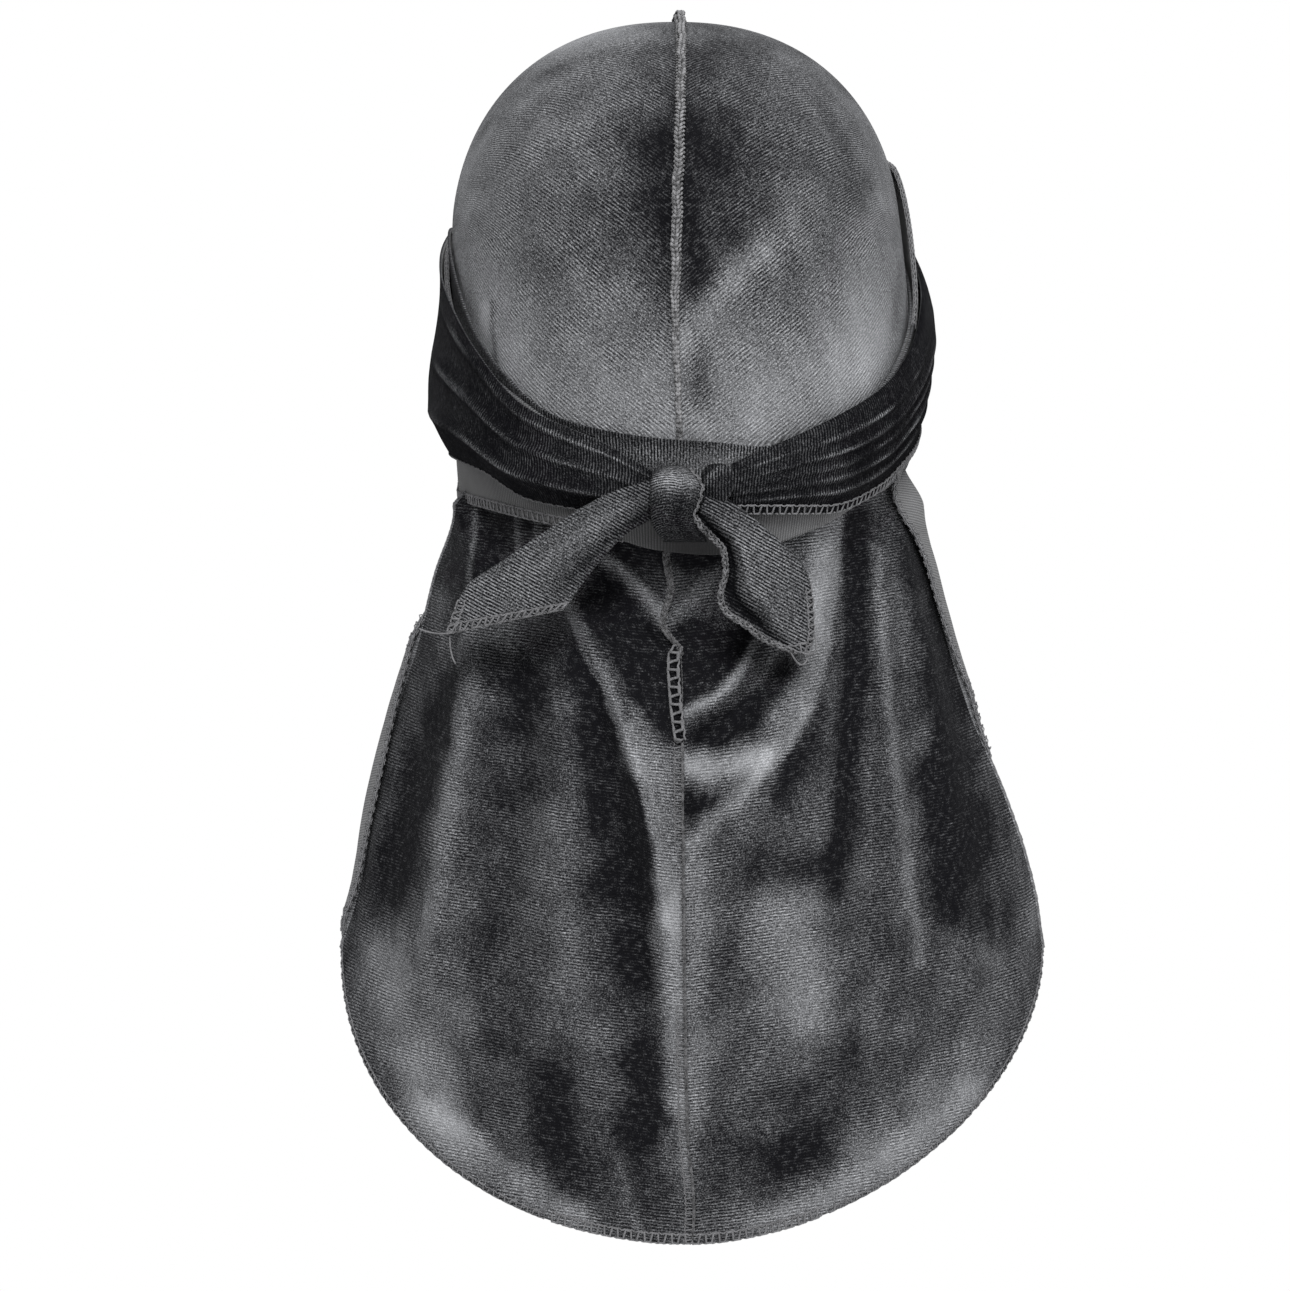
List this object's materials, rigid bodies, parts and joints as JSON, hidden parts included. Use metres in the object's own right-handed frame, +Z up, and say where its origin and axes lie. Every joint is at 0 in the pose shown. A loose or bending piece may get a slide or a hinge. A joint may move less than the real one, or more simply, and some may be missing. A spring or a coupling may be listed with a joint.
{
  "type": "durag",
  "caption": "Velvet durag in its worn form: two-panel crown with a raised centre seam, long straps wound round the head and knotted behind, and a hanging cape.",
  "frame": {"origin": "the top of the head inside the crown, on the midline", "axes": "+Z up along the head; the forehead faces -Y and the knot and cape are at +Y; +X is the wearer's left"},
  "size_m": [0.2291, 0.2035, 0.3998],
  "materials": {
    "velvet": "ribbed stretch velvet, charcoal, crushed nap",
    "strap_velvet": "ribbed stretch velvet pulled tight, near black",
    "seam_thread": "overlock stitching in grey thread"
  },
  "bodies": {
    "root": {"panel_left": "velvet", "panel_right": "velvet", "crown_seam": "seam_thread", "cape_seam": "seam_thread", "strap_left": "strap_velvet", "strap_right": "strap_velvet", "knot_core": "strap_velvet", "knot_loop": "strap_velvet", "tail_left": "strap_velvet", "tail_right": "strap_velvet"}
  },
  "joints": []
}
